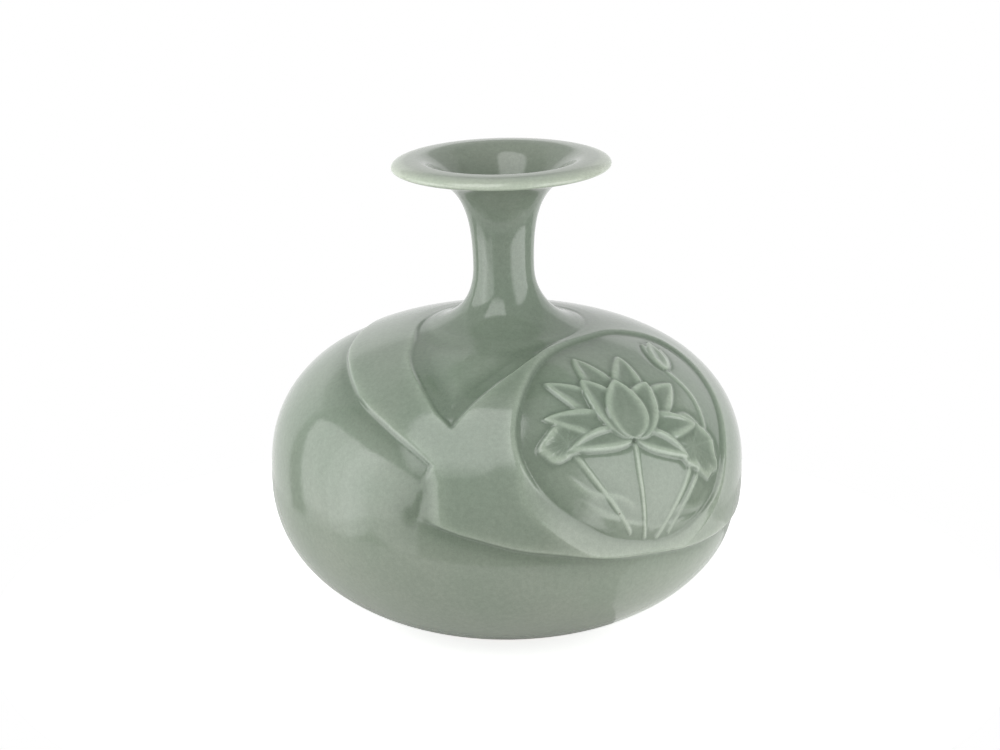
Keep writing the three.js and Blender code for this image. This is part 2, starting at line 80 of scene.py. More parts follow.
# Lip paler towards its edge as thinner glaze with a painted highlight, and darker down the funnel as painted shade
UNDER_LIP_THIN_AND_HIGHLIGHT = ((25.0, 27.5, MOUTH_RADIUS), (0.0, 0.25, 0.75))
OVER_LIP_LIGHT_AND_SHADE = ((7.0, 10.0, 16.0, 22.0, 26.0, MOUTH_RADIUS), (-0.25, -0.20, -0.06, 0.02, 0.05, 0.70))

# Edges on the body: azimuth in degrees (0 is the front, positive to +X) and share of the reach of the widest level
COLLAR_EDGE = [(-15, 0.655), (-24, 0.575), (-43, 0.43), (-62, 0.325), (-95, 0.265), (-140, 0.255), (180, 0.26),
               (130, 0.26), (91, 0.255), (60, 0.25), (28, 0.28), (12, 0.35), (-1, 0.45), (-15, 0.655)]
WRAP_EDGE = [(-21, 0.925), (-8, 0.967), (7, 1.011), (27, 1.056), (50, 1.086), (72, 1.091), (95, 1.065),
             (120, 0.98), (145, 0.855), (170, 0.72), (-165, 0.61), (-138, 0.52), (-111, 0.47), (-80, 0.5),
             (-51, 0.59), (-34, 0.665), (-18, 0.767)]
SWEEP_SHARE = 0.62      # share of that edge where the low sweep passes into the lapel at the back
NOTCH_EDGE = [(-18, 0.767), (-19.5, 0.846), (-21, 0.925)]
PANEL_EDGE = [(2, 0.68), (9, 0.857), (24, 0.998), (41, 1.043), (57, 0.97), (68, 0.812), (80, 0.654),
              (91, 0.496), (84, 0.35), (58, 0.28), (27, 0.305), (9, 0.43)]

# The motif in the panel: a lotus with leaves, a bud and water, on the plane that touches the body at its centre
MOTIF_AZIMUTH, MOTIF_SHARE, MOTIF_TURN = math.radians(40), 0.655, math.radians(18)
MOTIF_SPACING = 0.8
BLOSSOM = (-4.0, -6.5)
# Each petal: angle from upright in degrees, length, width, bend and level
PETALS = [(-14, 30.0, 11.0, 0.0, 0.05), (12, 30.5, 11.0, 0.0, 0.05),
          (-37, 27.0, 11.0, 0.005, 0.12), (35, 26.5, 11.0, 0.005, 0.12),
          (-60, 23.5, 9.8, 0.010, 0.16), (59, 23.0, 9.8, 0.010, 0.16),
          (-81, 18.0, 7.5, 0.018, 0.18), (81, 17.5, 7.5, 0.018, 0.18),
          (-22, 21.5, 11.5, 0.003, 0.24), (23, 21.0, 11.5, 0.003, 0.24), (0, 19.0, 12.5, 0.0, 0.32)]
PETAL_POINT, PETAL_FULLNESS, PETAL_SLOPE = 0.76, 0.68, 0.88
PETAL_HOLLOW, PETAL_VEIN, BUD_VEIN = 0.20, 0.035, 0.04
BUD_BASE, BUD_ANGLE, BUD_LENGTH, BUD_WIDTH = (15.0, 19.0), 10, 14.0, 7.6
# Each petal of the bud: turn in degrees, shares of the bud's length and width, and level
BUD_PETALS = [(-14, 0.86, 0.62, 0.2), (14, 0.86, 0.62, 0.2), (0, 1.0, 0.72, 0.28)]
# Each leaf: centre, half axes, tilt in degrees and waves of its rim
LEAVES = [((16.5, -4.5), (11.0, 7.0), -24, 7), ((-23.0, -6.5), (7.5, 4.8), 30, 5)]
LEAF_LEVEL, LEAF_SLOPE, LEAF_WAVE, LEAF_DISH = 0.14, 0.95, 0.055, 0.16
LEAF_VEINS, LEAF_VEIN, LEAF_VEIN_BREADTH, LEAF_HEART = 6, 0.13, 0.16, 0.22
STEMS = [[BLOSSOM, (-3.0, -16.0), (1.0, -28.0)], [(16.5, -5.0), (12.5, -16.0), (5.0, -28.0)],
         [BUD_BASE, (21.0, 9.0), (21.5, -3.0), (16.0, -15.0), (9.0, -26.0)],
         [(-23.0, -8.0), (-15.0, -18.0), (-4.0, -27.5)]]
STEM_RISE, STEM_HALF, STEM_TAPER = 0.34, 0.75, 0.25
RIPPLES = [[(-24, -15), (-17, -19.5), (-9, -20.5), (-2, -23)], [(-19, -21.5), (-12, -24), (-4, -25.5), (3, -25.5)],
           [(24, -13), (19, -18.5), (12, -20.5), (5, -23.5)], [(21, -19), (15, -22.5), (8, -24.5), (2, -26.5)]]
RIPPLE_RISE, RIPPLE_STEEP, RIPPLE_GENTLE = 0.26, 0.45, 1.5
# A shape in front is ridged along its rim and cuts into what lies behind it
RIDGE_RISE, RIDGE_INSET, RIDGE_OUTER, RIDGE_INNER = 0.34, 0.8, 0.6, 1.1
UNDERCUT, UNDERCUT_REACH, OVERLAP = 0.16, 0.9, 0.35

# Fineness of the visible meshes
COLUMNS, TUBE_COLUMNS = 450, 320
CROWDING, CROWD_CENTRE = 0.62, math.radians(28)
UPPER_ROWS, BELOW_SEAM_ROWS, BASE_ROWS = 200, 70, 40
BELOW_SEAM_FINE = 26.0  # the rows stay fine this far below the widest level
LINING_ROWS = 12

# The photograph's camera: distance, pitch and lens, worked out from the fitted outline
CAMERA_PLACE = Vector((-1.72, -620.9, 259.7))
CAMERA_PITCH = math.radians(17.2)
CAMERA_LENS, CAMERA_SENSOR = 84.24, 36.0

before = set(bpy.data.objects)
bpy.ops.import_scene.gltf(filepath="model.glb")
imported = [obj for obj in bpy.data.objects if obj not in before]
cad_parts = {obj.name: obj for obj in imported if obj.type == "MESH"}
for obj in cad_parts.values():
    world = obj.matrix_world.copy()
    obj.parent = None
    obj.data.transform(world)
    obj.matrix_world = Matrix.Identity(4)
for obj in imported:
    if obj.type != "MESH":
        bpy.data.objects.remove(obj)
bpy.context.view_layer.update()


# Outlines

def arc_table(radius, rise, drop):
    """Reach, radius and height along a superellipse outline from the top to the bottom."""
    angle = (0.5 - np.linspace(0, 1, 6001)) * math.pi
    up = angle >= 0
    fullness = np.where(up, SHOULDER_FULLNESS, BASE_FULLNESS)
    across = np.clip(1 - np.abs(np.sin(angle)) ** fullness, 0, None)
    radii = radius * across ** (1 / fullness)
    heights = BELLY_HEIGHT + np.where(up, rise, drop) * np.sin(angle)
    reach = np.concatenate(([0], np.cumsum(np.hypot(np.diff(radii), np.diff(heights)))))
    return reach, radii, heights


OUTSIDE = arc_table(BELLY_RADIUS, SHOULDER_RISE, BELLY_HEIGHT + BASE_SINK)
INSIDE = arc_table(BELLY_RADIUS - WALL, SHOULDER_RISE - SHOULDER_WALL, BELLY_HEIGHT - BASE_RECESS - FLOOR)


def at_reach(table, reach):
    return np.interp(reach, table[0], table[1]), np.interp(reach, table[0], table[2])


def reach_of_height(table, height):
    return float(np.interp(-height, -table[2], table[0]))


def reach_of_radius(table, radius):
    upper = table[2] >= BELLY_HEIGHT
    return float(np.interp(radius, table[1][upper], table[0][upper]))


BELLY_REACH = reach_of_height(OUTSIDE, BELLY_HEIGHT)
SEAT_REACH = reach_of_radius(OUTSIDE, SEAT_RADIUS)
SEAT_HEIGHT = float(at_reach(OUTSIDE, SEAT_REACH)[1]) + SEAT_LIFT
FOOT_REACH = reach_of_height(OUTSIDE, FOOT_HEIGHT)


def around_axis(radius, azimuth, height):
    radius, azimuth, height = np.broadcast_arrays(radius, azimuth, height)
    return np.stack([radius * np.sin(azimuth), -radius * np.cos(azimuth), height], -1)


def on_body(azimuth, reach):
    radius, height = at_reach(OUTSIDE, reach)
    return around_axis(radius, azimuth, height)


def body_normal(azimuth, reach):
    step = 0.25
    radius_a, height_a = at_reach(OUTSIDE, reach - step)
    radius_b, height_b = at_reach(OUTSIDE, reach + step)
    run, drop = radius_b - radius_a, height_b - height_a
    length = np.hypot(run, drop)
    return around_axis(-drop / length, azimuth, run / length)


def smooth(value, low, high):
    share = np.clip((value - low) / (high - low), 0, 1)
    return share * share * (3 - 2 * share)


# Curves and distances on the surface

def spline(points, spacing, closed=False):
    """A Catmull-Rom curve through points of the plane, with evenly spaced points."""
    knots = np.asarray(points, float)
    if closed:
        padded = np.vstack([knots[-1:], knots, knots[:2]])
    else:
        padded = np.vstack([2 * knots[0] - knots[1], knots, 2 * knots[-1] - knots[-2]])
    share = np.linspace(0, 1, 24, endpoint=False)[:, None]
    runs = []
    for a, b, c, d in zip(padded, padded[1:], padded[2:], padded[3:]):
        runs.append(0.5 * (2 * b + (c - a) * share + (2 * a - 5 * b + 4 * c - d) * share ** 2
                           + (3 * b - a - 3 * c + d) * share ** 3))
    dense = np.vstack(runs + [padded[-2:-1]])
    length = np.concatenate(([0], np.cumsum(np.linalg.norm(np.diff(dense, axis=0), axis=1))))
    even = np.linspace(0, length[-1], max(2, math.ceil(length[-1] / spacing) + 1))
    return np.stack([np.interp(even, length, dense[:, k]) for k in range(2)], -1)


def mapped(azimuth, reach):
    """The map of the body seen from the top, in millimetres over the surface."""
    return np.stack([reach * np.sin(azimuth), -reach * np.cos(azimuth)], -1)


def unmapped(flat):
    return on_body(np.arctan2(flat[:, 0], -flat[:, 1]), np.hypot(flat[:, 0], flat[:, 1]))


def polar(points):
    return [mapped(math.radians(degrees), share * BELLY_REACH) for degrees, share in points]


def chord_distance(places, chain):
    """Distance of each place to a chain of chords, and the share of the chain's length where it is nearest."""
    best = np.full(len(places), np.inf)
    where = np.zeros(len(places))
    count = len(chain) - 1
    for k in range(count):
        start, chord = chain[k], chain[k + 1] - chain[k]
        share = np.clip((places - start) @ chord / max(chord @ chord, 1e-12), 0, 1)
        gap = np.linalg.norm(places - start - share[:, None] * chord, axis=1)
        closer = gap < best
        best[closer] = gap[closer]
        where[closer] = (k + share[closer]) / count
    return best, where


def loop_holds(flat, places):
    """Even-odd test of mapped places in a closed loop."""
    held = np.zeros(len(places), bool)
    for a, b in zip(flat, np.roll(flat, 1, axis=0)):
        crosses = (a[1] > places[:, 1]) != (b[1] > places[:, 1])
        level = b[1] - a[1]
        edge = (b[0] - a[0]) * (places[:, 1] - a[1]) / (level if abs(level) > 1e-12 else 1e-12) + a[0]
        held ^= crosses & (places[:, 0] < edge)
    return held


def stroke(points, closed=False):
    return spline(polar(points), EDGE_SPACING, closed)


def carved_depth(strokes, azimuth, reach):
    """Signed distance to a closed loop of strokes: positive within."""
    flat = np.vstack([chain[:-1] for chain in strokes])
    solid = unmapped(np.vstack([flat, flat[:1]]))
    gap, _ = chord_distance(on_body(azimuth, reach), solid)
    return np.where(loop_holds(flat, mapped(azimuth, reach)), gap, -gap)


def relief(azimuth, reach):
    """How far the carving and the motif stand off the plain body, and where the slope into the panel lies."""
    place = on_body(azimuth, reach)
    wrap_stroke, notch_stroke, panel_stroke = stroke(WRAP_EDGE), stroke(NOTCH_EDGE), stroke(PANEL_EDGE, True)
    outside_wrap = -carved_depth([wrap_stroke, notch_stroke], azimuth, reach)
    collar = carved_depth([stroke(COLLAR_EDGE)], azimuth, reach)
    panel = carved_depth([panel_stroke], azimuth, reach)
    middle = round(SWEEP_SHARE * len(wrap_stroke))
    sweep_gap, sweep_share = chord_distance(place, unmapped(wrap_stroke[:middle]))
    lapel_gap, lapel_share = chord_distance(place, unmapped(wrap_stroke[middle:]))
    notch_gap, notch_share = chord_distance(place, unmapped(notch_stroke))
    # The mantle, with its rim and slope round the panel and the chamfer that widens along the notch
    down_left = np.cos(azimuth - BEVEL_TURN) * smooth(reach / BELLY_REACH, BEVEL_HIGH, BEVEL_LOW)
    breadth = BEVEL_LEAST + (BEVEL_MOST - BEVEL_LEAST) * smooth(down_left, BEVEL_HALF_WAY, 1.0)
    beyond = -panel - breadth
    rightward = np.sin(azimuth) * (np.cos(azimuth) > -0.5)
    clear = 1 - (1 - PANEL_SOFT) * smooth(rightward, PANEL_SOFT_FROM, PANEL_SOFT_TO)
    rim = clear * RIM_RISE * np.clip(1 - np.maximum(beyond, 0) / RIM_BREADTH, 0, 1) ** 2
    opening = notch_share ** NOTCH_OPENING
    chamfer = np.clip(1 - notch_gap / np.maximum(NOTCH_BEVEL * opening, NOTCH_LEAST), 0, 1)
    height = MANTLE_RISE + rim + BEVEL_SLOPE * np.minimum(beyond, 0) - NOTCH_DROP * chamfer * opening
    # Beside the edges the ground is cut away, deepest at the edge
    sweep = SWEEP_CUT * np.clip(1 - sweep_gap / SWEEP_FADE, 0, 1) ** 2
    extra = SWEEP_EXTRA * smooth(sweep_share, SWEEP_EXTRA_RUN, 0)
    sweep *= (1 + extra) * (1 - smooth(sweep_share, SWEEP_ENDING, 1.0))
    lapel = LAPEL_CUT * np.clip(1 - lapel_gap / LAPEL_FADE, 0, 1) ** 2
    lapel *= LAPEL_START + (1 - LAPEL_START) * smooth(lapel_share, 0, LAPEL_FULL)
    ground = -np.hypot(sweep, lapel)
    floor = -COLLAR_CUT * np.clip(1 - (collar - COLLAR_SCOOP) / (COLLAR_FADE - COLLAR_SCOOP), 0, 1) ** 2
    scooped = -COLLAR_EDGE_CUT - (COLLAR_CUT - COLLAR_EDGE_CUT) * np.clip(collar / COLLAR_SCOOP, 0, 1)
    floor = np.where(collar < COLLAR_SCOOP, scooped, floor)
    for depth, low in ((outside_wrap, ground), (collar, floor)):
        share = smooth(depth, -STEP_START, STEP_WIDTH - STEP_START)
        height = height * (1 - share) + low * share
    share = smooth(panel, -PANEL_STEP_START, STEP_WIDTH - PANEL_STEP_START)
    height = height * (1 - share) - clear * PANEL_CUT * np.clip(1 - panel / PANEL_FADE, 0, 1) ** 2 * share
    ornament = np.zeros(len(place))
    within = panel > 0
    ornament[within] = motif(place[within]) * smooth(panel[within], 0.5, 2.0)
    swell = SEAT_LIFT * np.clip(1 - (reach - SEAT_REACH) / SEAT_SWELL, 0, None) ** 2
    carving = swell + height * smooth(reach, SEAT_REACH, SEAT_REACH + NECK_CLEAR) + unevenness(place)
    band = smooth(beyond, 0.8, -0.8) * smooth(-panel, -0.4, 0.4) * smooth(breadth, BEVEL_LEAST, 3.0)
    band *= outside_wrap < 0
    return carving, ornament, band


def unevenness(place):
    """Slow waves in the thrown wall, which die out at the foot."""
    chance = np.random.default_rng(11)
    total = np.zeros(len(place))
    for _ in range(WAVE_COUNT):
        way = chance.normal(size=3)
        way /= np.linalg.norm(way)
        wave = chance.uniform(WAVE_SHORTEST, WAVE_LONGEST)
        total += np.sin(place @ way * TURN / wave + chance.uniform(0, TURN)) * wave / WAVE_LONGEST
    return total * WAVE_HEIGHT * smooth(place[:, 2], FOOT_HEIGHT, 15) * smooth(SEAT_HEIGHT - place[:, 2], 0, 8)


# The motif, drawn from back to front as a height over the panel's floor

def petal_depth(place, base, angle, length, width, bend=0.0):
    """Depth within a pointed petal (positive inside), and the shares along and across it."""
    turn = math.radians(angle)
    along = np.array([math.sin(turn), math.cos(turn)])
    offset = place - np.asarray(base)
    u = offset @ along
    v = offset @ np.array([along[1], -along[0]]) - math.copysign(bend, angle) * u ** 2
    share = np.clip(u / length, 0, 1)
    half = width / 2 * np.sin(math.pi * share ** PETAL_POINT) ** PETAL_FULLNESS
    beyond = np.minimum(u, 0) + np.maximum(u - length, 0)
    depth = np.where((u > 0) & (u < length), PETAL_SLOPE * (half - np.abs(v)), -np.hypot(beyond, v))
    return depth, share, v / np.maximum(half, 0.3)


def leaf_depth(place, centre, axes, tilt, waves):
    """Depth within a wavy leaf, and how far a place lies from its veins."""
    turn = math.radians(tilt)
    offset = place - np.asarray(centre)
    u = (offset[:, 0] * math.cos(turn) + offset[:, 1] * math.sin(turn)) / axes[0]
    v = (offset[:, 1] * math.cos(turn) - offset[:, 0] * math.sin(turn)) / axes[1]
    rim = 1 + LEAF_WAVE * np.sin(waves * np.arctan2(v, u) + 0.8)
    heart = v + LEAF_HEART
    vein = np.abs(np.sin(np.arctan2(heart, u) * LEAF_VEINS)) * np.hypot(u, heart)
    return (rim - np.hypot(u, v)) * axes[1] * LEAF_SLOPE, vein


def laid_over(height, depth, shape):
    """A shape in front, which cuts into what lies behind it."""
    undercut = np.where(depth > -3, -UNDERCUT * np.exp(-(np.minimum(depth, 0) / UNDERCUT_REACH) ** 2), 0)
    share = smooth(depth, -OVERLAP, OVERLAP)
    return (height + undercut) * (1 - share) + shape * share


def ridge(depth):
    """The rim of a petal or leaf, which falls steeply outside and gently inside."""
    width = np.where(depth < RIDGE_INSET, RIDGE_OUTER, RIDGE_INNER)
    return RIDGE_RISE * np.exp(-((depth - RIDGE_INSET) / width) ** 2)


def motif(solid_place):
    """Height of the motif over the panel's floor at places on the body."""
    azimuth, reach = np.array([MOTIF_AZIMUTH]), np.array([MOTIF_SHARE * BELLY_REACH])
    centre, normal = on_body(azimuth, reach)[0], body_normal(azimuth, reach)[0]
    level = np.array([math.cos(MOTIF_AZIMUTH), math.sin(MOTIF_AZIMUTH), 0])
    upright = np.cross(normal, level)
    right = math.cos(MOTIF_TURN) * level - math.sin(MOTIF_TURN) * upright
    up = math.sin(MOTIF_TURN) * level + math.cos(MOTIF_TURN) * upright
    place = np.stack([(solid_place - centre) @ right, (solid_place - centre) @ up], -1)
    height = np.zeros(len(place))
    for points in RIPPLES:
        chain = spline(points, MOTIF_SPACING)
        gap, share = chord_distance(place, chain)
        above = place[:, 1] > np.interp(share, np.linspace(0, 1, len(chain)), chain[:, 1])
        crest = RIPPLE_RISE * np.sin(math.pi * share) ** 0.7
        height = np.maximum(height, crest * np.exp(-(gap / np.where(above, RIPPLE_STEEP, RIPPLE_GENTLE)) ** 2))
    for points in STEMS:
        gap, share = chord_distance(place, spline(points, MOTIF_SPACING))
        half = STEM_HALF - STEM_TAPER * share
        height = np.maximum(height, STEM_RISE * (1 - smooth(gap, half * 0.55, half * 1.5)))
    for turn, length, width, level in BUD_PETALS:
        depth, _, across = petal_depth(place, BUD_BASE, BUD_ANGLE + turn, BUD_LENGTH * length, BUD_WIDTH * width)
        height = laid_over(height, depth, level + ridge(depth) + BUD_VEIN * np.cos(across * 7))
    for centre, axes, tilt, waves in LEAVES:
        depth, vein = leaf_depth(place, centre, axes, tilt, waves)
        dish = -LEAF_DISH * smooth(depth, RIDGE_INSET, axes[1] * 0.9)
        veins = LEAF_VEIN * np.exp(-(vein / LEAF_VEIN_BREADTH) ** 2)
        height = laid_over(height, depth, LEAF_LEVEL + ridge(depth) + veins + dish)
    for angle, length, width, bend, level in PETALS:
        depth, share, across = petal_depth(place, BLOSSOM, angle, length, width, bend)
        hollow = -PETAL_HOLLOW * smooth(depth, RIDGE_INSET, width * 0.42) * smooth(share, 0.1, 0.5)
        veins = PETAL_VEIN * np.cos(across * 11) * smooth(share, 0.15, 0.5) * smooth(depth, 0.7, 1.6)
        height = laid_over(height, depth, level * smooth(share, -0.1, 0.35) + ridge(depth) + hollow + veins)
    return height


# Grids: rows of rings round the axis

turns = np.arange(COLUMNS) / COLUMNS * TURN
azimuths = turns - CROWDING * np.sin(turns - CROWD_CENTRE)
even_azimuths = np.arange(TUBE_COLUMNS) / TUBE_COLUMNS * TURN


def grid_normals(grid):
    """Unit normals of a grid whose rows run round the axis and rise, by differences."""
    around = np.roll(grid, -1, axis=1) - np.roll(grid, 1, axis=1)
    along = np.gradient(grid, axis=0)
    normal = np.cross(around, along)
    return normal / np.maximum(np.linalg.norm(normal, axis=-1, keepdims=True), 1e-12)


def blurred(field, spread):
    """The average of a field over its rows and round its columns."""
    for axis in (0, 1):
        total, weight_sum = np.zeros_like(field), 0.0
        for shift in range(-3 * spread, 3 * spread + 1):
            weight = math.exp(-0.5 * (shift / spread) ** 2)
            if axis:
                moved = np.roll(field, shift, axis=1)
            else:
                index = np.clip(np.arange(len(field)) - shift, 0, len(field) - 1)
                moved = field[index]
            total += weight * moved
            weight_sum += weight
        field = total / weight_sum
    return field


class Solid:
    """Collects grids of one closed piece and makes a mesh with their normals and an attribute of glaze thickness
    with painted light and shade.
    """

    def __init__(self, name):
        self.name = name
        self.vertices, self.faces, self.normals, self.glaze_and_painted_light = [], [], [], []
        self.count = 0

    def grid(self, rows, normals=None, glaze_and_painted_light=None):
        """Adds a grid of rings, each joined to the next. Its normals point out where the rows rise outside."""
        rows = np.asarray(rows)
        row_count, column_count = rows.shape[:2]
        if normals is None:
            normals = grid_normals(rows)
        index = self.count + np.arange(row_count * column_count).reshape(row_count, column_count)
        a, b = index[:-1], np.roll(index, -1, axis=1)[:-1]
        d, c = index[1:], np.roll(index, -1, axis=1)[1:]
        self.faces.append(np.stack([a, b, c, d], -1).reshape(-1, 4))
        self.vertices.append(rows.reshape(-1, 3))
        self.normals.append(normals.reshape(-1, 3))
        self.glaze_and_painted_light.append((np.zeros(rows.shape[:2]) if glaze_and_painted_light is None else glaze_and_painted_light).reshape(-1))
        self.count += row_count * column_count

    def build(self, *materials):
        vertices = np.vstack(self.vertices) * MM
        faces = np.vstack(self.faces)
        normals = np.vstack(self.normals)
        glaze_and_painted_light = np.concatenate(self.glaze_and_painted_light)
        # Rings that two grids share, and the points of a pole, become one vertex each
        keys = np.round(vertices / (MM * 1e-4)).astype(np.int64)
        _, first, same = np.unique(keys, axis=0, return_index=True, return_inverse=True)
        same = same.reshape(-1)
        corner_normals = normals[faces].reshape(-1, 3)
        merged = same[faces]
        keep_corner = merged != np.roll(merged, 1, axis=1)
        mesh = bpy.data.meshes.new(self.name)
        sizes = keep_corner.sum(axis=1)
        whole = sizes >= 3
        keep_corner &= whole[:, None]
        sizes = sizes[whole]
        corners = merged[keep_corner]
        corner_normals = corner_normals[keep_corner.reshape(-1)]
        mesh.vertices.add(len(first))
        mesh.vertices.foreach_set("co", vertices[first].astype(np.float32).reshape(-1))
        mesh.loops.add(len(corners))
        mesh.loops.foreach_set("vertex_index", corners.astype(np.int32))
        mesh.polygons.add(len(sizes))
        mesh.polygons.foreach_set("loop_start", np.concatenate(([0], np.cumsum(sizes)[:-1])).astype(np.int32))
        mesh.polygons.foreach_set("use_smooth", np.ones(len(sizes), bool))
        mesh.update(calc_edges=True)
        mesh.validate()
        # This attribute holds glaze thickness together with painted highlights and painted shade
        layer = mesh.attributes.new("glaze_and_painted_light", "FLOAT", "POINT")
        layer.data.foreach_set("value", glaze_and_painted_light[first].astype(np.float32))
        kept = len(mesh.loops) == len(corner_normals)
        print(self.name, "faces", len(mesh.polygons), "normals kept", kept)
        if kept:
            mesh.normals_split_custom_set(corner_normals.tolist())
        for material in materials:
            mesh.materials.append(material)
        piece = bpy.data.objects.new(self.name, mesh)
        bpy.context.scene.collection.objects.link(piece)
        return piece


def rings(outline, columns=azimuths):
    """A grid from an outline of (radius, height) points."""
    outline = np.asarray(outline, float)
    return around_axis(outline[:, :1], columns[None, :], outline[:, 1:])


def leaned(grid):
    share = smooth(grid[..., 2:], SEAT_HEIGHT, SEAT_HEIGHT + LEAN_GROWTH)
    centre = SEAT_HEIGHT + LEAN_RISE
    x, y, z = grid[..., 0], grid[..., 1], grid[..., 2] - centre
    cosine, sine = math.cos(LEAN), math.sin(LEAN)
    turned = np.stack([x * cosine - z * sine + LEAN_OFFSET, y, x * sine + z * cosine + centre], -1)
    return grid * (1 - share) + turned * share


def flat_normals(grid, up):
    normals = np.zeros_like(grid)
    normals[..., 2] = 1 if up else -1
    return normals


# The glaze and the clay

GLAZE_ROUGHNESS, GLAZE_IOR, CLAY_ROUGHNESS = 0.12, 1.6, 0.85
CLOUD_SCALE, CLOUD_GREEN, CLOUD_GREY = 45.0, (0.198, 0.251, 0.193), (0.222, 0.268, 0.212)
MOTTLE_SCALE, MOTTLE, GRAIN_SCALE, GRAIN = 850.0, 0.06, 2600.0, 0.05
SPECK_SCALE, SPECK = 85.0, (0.50, 0.46, 0.40)
GRIT_SCALE, CLAY_DARK, CLAY_PALE = 1400.0, (0.30, 0.21, 0.14), (0.58, 0.47, 0.35)
PLAIN = (1.0, 1.0, 1.0)
GLAZED_HEIGHT = 0.13    # metres, over which the tone shifts
# Bounds of the attribute that holds glaze thickness together with painted light and shade
LIGHT_AND_GLAZE_LEAST, LIGHT_AND_GLAZE_MOST = -0.25, 0.75


def node(tree, kind, **settings):
    made = tree.nodes.new(kind)
    for key, value in settings.items():
        if key.startswith("in_"):
            made.inputs[key[3:].replace("_", " ")].default_value = value
        else:
            setattr(made, key, value)
    return made


def celadon():
    material = bpy.data.materials.new("celadon_glaze")
    material.use_nodes = True
    tree = material.node_tree
    shader = tree.nodes["Principled BSDF"]
    shader.inputs["Roughness"].default_value = GLAZE_ROUGHNESS
    shader.inputs["IOR"].default_value = GLAZE_IOR
    place = node(tree, "ShaderNodeTexCoord")

    def noise(scale, detail):
        made = node(tree, "ShaderNodeTexNoise", in_Scale=scale, in_Detail=detail)
        tree.links.new(place.outputs["Object"], made.inputs["Vector"])
        return made.outputs["Fac"]

    def ramp(value, *stops):
        made = node(tree, "ShaderNodeValToRGB")
        stops_made = made.color_ramp.elements
        while len(stops_made) < len(stops):
            stops_made.new(0.5)
        for stop, (position, color) in zip(stops_made, stops):
            stop.position, stop.color = position, (*color, 1)
        tree.links.new(value, made.inputs["Fac"])
        return made.outputs["Color"]

    def both_ways(amount):
        return (0.30, (1 - amount,) * 3), (0.70, (1 + amount,) * 3)

    def times(first, second):
        mix = node(tree, "ShaderNodeMix", data_type="RGBA", blend_type="MULTIPLY")
        mix.inputs["Factor"].default_value = 1.0
        tree.links.new(first, mix.inputs["A"])
        tree.links.new(second, mix.inputs["B"])
        return mix.outputs["Result"]

    mottle = noise(MOTTLE_SCALE, 3.0)
    # Clouds between a greener and a greyer glaze, fine mottling, and warmer tones at the mouth and low down
    color = ramp(noise(CLOUD_SCALE, 2.0), (0.30, CLOUD_GREEN), (0.70, CLOUD_GREY))
    color = times(color, ramp(mottle, *both_ways(MOTTLE)))
    color = times(color, ramp(noise(GRAIN_SCALE, 1.0), *both_ways(GRAIN)))
    height = node(tree, "ShaderNodeSeparateXYZ")
    tree.links.new(place.outputs["Object"], height.inputs[0])
    level = node(tree, "ShaderNodeMapRange", clamp=True)
    level.inputs["From Max"].default_value = GLAZED_HEIGHT
    tree.links.new(height.outputs["Z"], level.inputs["Value"])
    color = times(color, ramp(level.outputs["Result"], (0.0, (1.10, 1.02, 1.02)), (0.30, (1.04, 1.0, 1.0)),
                              (0.50, PLAIN), (0.85, PLAIN), (0.95, (1.05, 1.0, 1.02))))
    # Thinner glaze over crests is paler and pooling glaze is deeper, and painted highlights and painted shade are
    # laid in with them
    glaze_and_painted_light = node(tree, "ShaderNodeAttribute", attribute_name="glaze_and_painted_light")
    tone = node(tree, "ShaderNodeMapRange", clamp=True)
    tone.inputs["From Min"].default_value, tone.inputs["From Max"].default_value = LIGHT_AND_GLAZE_LEAST, LIGHT_AND_GLAZE_MOST
    tree.links.new(glaze_and_painted_light.outputs["Fac"], tone.inputs["Value"])
    color = times(color, ramp(tone.outputs["Result"], (0.0, (0.74, 0.77, 0.74)), (0.25, PLAIN),
                              (0.5, (1.48, 1.44, 1.46)), (1.0, (2.15, 2.05, 2.10))))
    # A few iron specks
    specks = node(tree, "ShaderNodeTexVoronoi", in_Scale=SPECK_SCALE)
    tree.links.new(place.outputs["Object"], specks.inputs["Vector"])
    color = times(color, ramp(specks.outputs["Distance"], (0.015, SPECK), (0.028, PLAIN)))
    tree.links.new(color, shader.inputs["Base Color"])
    bump = node(tree, "ShaderNodeBump", in_Strength=0.04, in_Distance=0.0004)
    tree.links.new(mottle, bump.inputs["Height"])
    tree.links.new(bump.outputs["Normal"], shader.inputs["Normal"])
    return material


def bare_clay():
    material = bpy.data.materials.new("bare_clay")
    material.use_nodes = True
    tree = material.node_tree
    shader = tree.nodes["Principled BSDF"]
    shader.inputs["Roughness"].default_value = CLAY_ROUGHNESS
    place = node(tree, "ShaderNodeTexCoord")
    grit = node(tree, "ShaderNodeTexNoise", in_Scale=GRIT_SCALE, in_Detail=4.0)
    ramp = node(tree, "ShaderNodeValToRGB")
    ramp.color_ramp.elements[0].color = (*CLAY_DARK, 1)
    ramp.color_ramp.elements[1].color = (*CLAY_PALE, 1)
    tree.links.new(place.outputs["Object"], grit.inputs["Vector"])
    tree.links.new(grit.outputs["Fac"], ramp.inputs["Fac"])
    tree.links.new(ramp.outputs["Color"], shader.inputs["Base Color"])
    bump = node(tree, "ShaderNodeBump", in_Strength=0.3, in_Distance=0.0003)
    tree.links.new(grit.outputs["Fac"], bump.inputs["Height"])
    tree.links.new(bump.outputs["Normal"], shader.inputs["Normal"])
    return material


GLAZE = celadon()
CLAY = bare_clay()


# The body's outside as one grid, from the neck's joint down to the foot

